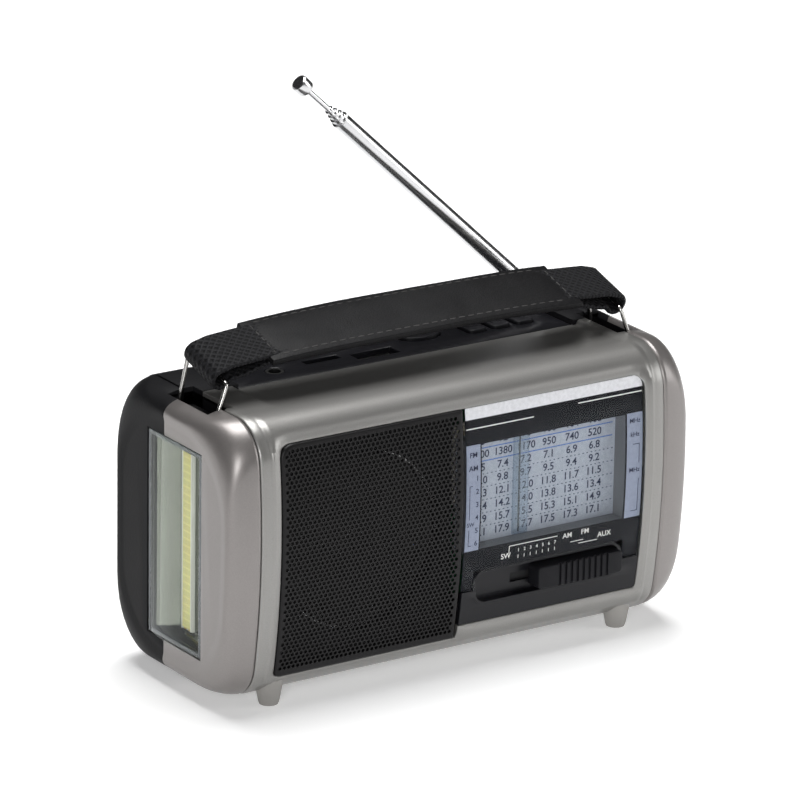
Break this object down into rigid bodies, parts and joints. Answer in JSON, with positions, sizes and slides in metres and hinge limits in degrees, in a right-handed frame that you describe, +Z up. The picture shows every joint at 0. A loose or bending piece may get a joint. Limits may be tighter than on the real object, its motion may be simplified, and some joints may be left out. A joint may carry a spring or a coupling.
{
  "type": "emergency radio",
  "caption": "Portable radio with a perforated speaker grille, tuning dial, band slider, end lamp, top keys and sockets, strap handle and telescopic aerial.",
  "frame": {"origin": "middle of the case at the plane its feet stand on", "axes": "+X to the right seen from the dial, +Y to the back, +Z up"},
  "size_m": [0.1548, 0.063, 0.1595],
  "materials": {
    "silver_paint": "satin silver lacquer on moulded plastic",
    "black_case": "fine textured black",
    "grille_metal": "black perforated sheet",
    "inner_black": "matt",
    "steel": "plated sheet steel",
    "cone_paper": "pressed black paper",
    "magnet_ferrite": "ferrite",
    "dial_lens": "clear gloss acrylic",
    "dial_print": "gloss black print behind the lens",
    "dial_card": "printed pale blue card",
    "pointer": "clear acrylic with a dark line",
    "cord_nylon": "braided dial cord",
    "ivory_plastic": "satin",
    "brass": "turned",
    "control_plastic": "satin black",
    "component": "satin",
    "panel_gloss": "gloss black",
    "circuit_board": "solder mask",
    "copper_coil": "enamelled copper wire",
    "battery_wrap": "shrink sleeve",
    "jack_plastic": "matt",
    "lamp_lens": "clear gloss acrylic",
    "reflector_chrome": "bright vacuum metallised",
    "lamp_board": "white aluminium board",
    "lamp_phosphor": "yellow phosphor gel",
    "bail_steel": "nickel plated wire",
    "webbing": "woven nylon webbing",
    "leather": "black leatherette",
    "aerial_chrome": "bright chrome plate",
    "fixing_metal": "grey feet and zinc plated screws"
  },
  "bodies": {
    "housing": {"front_cabinet": "silver_paint", "rear_cabinet": "black_case", "left_end_trim": "silver_paint", "left_end_cap": "black_case", "right_end_trim": "silver_paint", "right_end_cap": "black_case", "top_panel": "black_case", "speaker_grille": "grille_metal", "speaker_baffle": "inner_black", "speaker_basket": "steel", "speaker_cone": "cone_paper", "speaker_magnet": "magnet_ferrite", "dial_lens": "dial_lens", "dial_mask": "dial_print", "dial_frame": "inner_black", "dial_card": "dial_card", "dial_cord": "cord_nylon", "cord_pulleys": "ivory_plastic", "tuning_capacitor": "component", "lower_panel": "panel_gloss", "band_switch": "steel", "main_board": "circuit_board", "volume_control": "component", "ferrite_rod": "magnet_ferrite", "ferrite_coil": "copper_coil", "battery_cell": "battery_wrap", "battery_contacts": "brass", "media_board": "circuit_board", "usb_socket": "steel", "card_socket": "steel", "audio_jack": "jack_plastic", "button_switches": "component", "lamp_lens": "lamp_lens", "lamp_reflector": "reflector_chrome", "lamp_board": "lamp_board", "lamp_strip": "lamp_phosphor", "aerial_bush": "aerial_chrome", "case_fixings": "fixing_metal"},
    "battery_door": {"battery_door": "black_case"},
    "tuning": {"tuning_wheel": "control_plastic", "tuning_shaft": "brass", "dial_drum": "ivory_plastic"},
    "pointer": {"dial_pointer": "pointer"},
    "volume": {"volume_wheel": "control_plastic"},
    "slider": {"band_slider": "control_plastic"},
    "previous_key": {"previous_button": "control_plastic"},
    "play_key": {"play_button": "control_plastic"},
    "next_key": {"next_button": "control_plastic"},
    "lamp_key": {"lamp_button": "control_plastic"},
    "bail_left": {"left_bail": "bail_steel"},
    "bail_right": {"right_bail": "bail_steel"},
    "strap": {"handle_strap": "webbing", "handle_sleeve": "leather"},
    "swivel": {"aerial_swivel": "aerial_chrome", "aerial_pin": "aerial_chrome"},
    "tube_1": {"aerial_tube_1": "aerial_chrome"},
    "tube_2": {"aerial_tube_2": "aerial_chrome"},
    "tube_3": {"aerial_tube_3": "aerial_chrome"},
    "tube_4": {"aerial_tube_4": "aerial_chrome"},
    "rod": {"aerial_rod": "aerial_chrome"}
  },
  "joints": [
    {"name": "battery_door_pull", "type": "slide", "parent": "housing", "child": "battery_door", "axis": [0, 1, 0], "range_m": [0, 0.012]},
    {"name": "tuning_turn", "type": "hinge", "parent": "housing", "child": "tuning", "pos_m": [0.06, 0, 0.0573], "axis": [0, 1, 0], "range_deg": [-57.29, 133.6]},
    {"name": "pointer_travel", "type": "slide", "parent": "housing", "child": "pointer", "axis": [1, 0, 0], "range_m": [-0.0122, 0.0282]},
    {"name": "volume_turn", "type": "hinge", "parent": "housing", "child": "volume", "pos_m": [0.064, 0, 0.024], "axis": [0, 1, 0], "range_deg": [-150, 120]},
    {"name": "band_select", "type": "slide", "parent": "housing", "child": "slider", "axis": [1, 0, 0], "range_m": [-0.0185, 0]},
    {"name": "previous_press", "type": "slide", "parent": "housing", "child": "previous_key", "axis": [0, 0, -1], "range_m": [0, 0.0006], "stiffness_N_per_m": 400, "springref_m": -0.0008},
    {"name": "play_press", "type": "slide", "parent": "housing", "child": "play_key", "axis": [0, 0, -1], "range_m": [0, 0.0006], "stiffness_N_per_m": 400, "springref_m": -0.0008},
    {"name": "next_press", "type": "slide", "parent": "housing", "child": "next_key", "axis": [0, 0, -1], "range_m": [0, 0.0006], "stiffness_N_per_m": 400, "springref_m": -0.0008},
    {"name": "lamp_press", "type": "slide", "parent": "housing", "child": "lamp_key", "axis": [0, 0, -1], "range_m": [0, 0.0006], "stiffness_N_per_m": 400, "springref_m": -0.0008},
    {"name": "handle_swing", "type": "hinge", "parent": "housing", "child": "bail_left", "pos_m": [-0.0684, -0.0012, 0.08], "axis": [0, 1, 0], "range_deg": [-18, 18]},
    {"name": "bail_right_swing", "type": "hinge", "parent": "housing", "child": "bail_right", "pos_m": [0.0684, -0.0012, 0.08], "axis": [0, 1, 0], "range_deg": [-18.5, 18.5]},
    {"name": "strap_level", "type": "hinge", "parent": "bail_left", "child": "strap", "pos_m": [-0.065, -0.0012, 0.0922], "axis": [0, 1, 0], "range_deg": [-19.5, 19.5]},
    {"name": "aerial_turn", "type": "hinge", "parent": "housing", "child": "swivel", "pos_m": [0.069, 0.028, 0.0775], "axis": [0, 0, -1], "range_deg": [0, 180]},
    {"name": "aerial_tilt", "type": "hinge", "parent": "swivel", "child": "tube_1", "pos_m": [0.069, 0.028, 0.0775], "axis": [0, 1, 0], "range_deg": [-42.5, 47.5]},
    {"name": "aerial_pull_1", "type": "slide", "parent": "tube_1", "child": "tube_2", "axis": [-0.7373, 0, 0.6756], "range_m": [0, 0.083]},
    {"name": "aerial_pull_2", "type": "slide", "parent": "tube_2", "child": "tube_3", "axis": [-0.7373, 0, 0.6756], "range_m": [0, 0.083]},
    {"name": "aerial_pull_3", "type": "slide", "parent": "tube_3", "child": "tube_4", "axis": [-0.7373, 0, 0.6756], "range_m": [0, 0.083]},
    {"name": "aerial_pull_4", "type": "slide", "parent": "tube_4", "child": "rod", "axis": [-0.7373, 0, 0.6756], "range_m": [-0.0098, 0.066]}
  ],
  "couplings": [
    {"joint": "bail_right_swing", "follows": "handle_swing", "ratio": 1},
    {"joint": "strap_level", "follows": "handle_swing", "ratio": -1.0523},
    {"joint": "pointer_travel", "follows": "tuning_turn", "m_per_rad": 0.012}
  ]
}
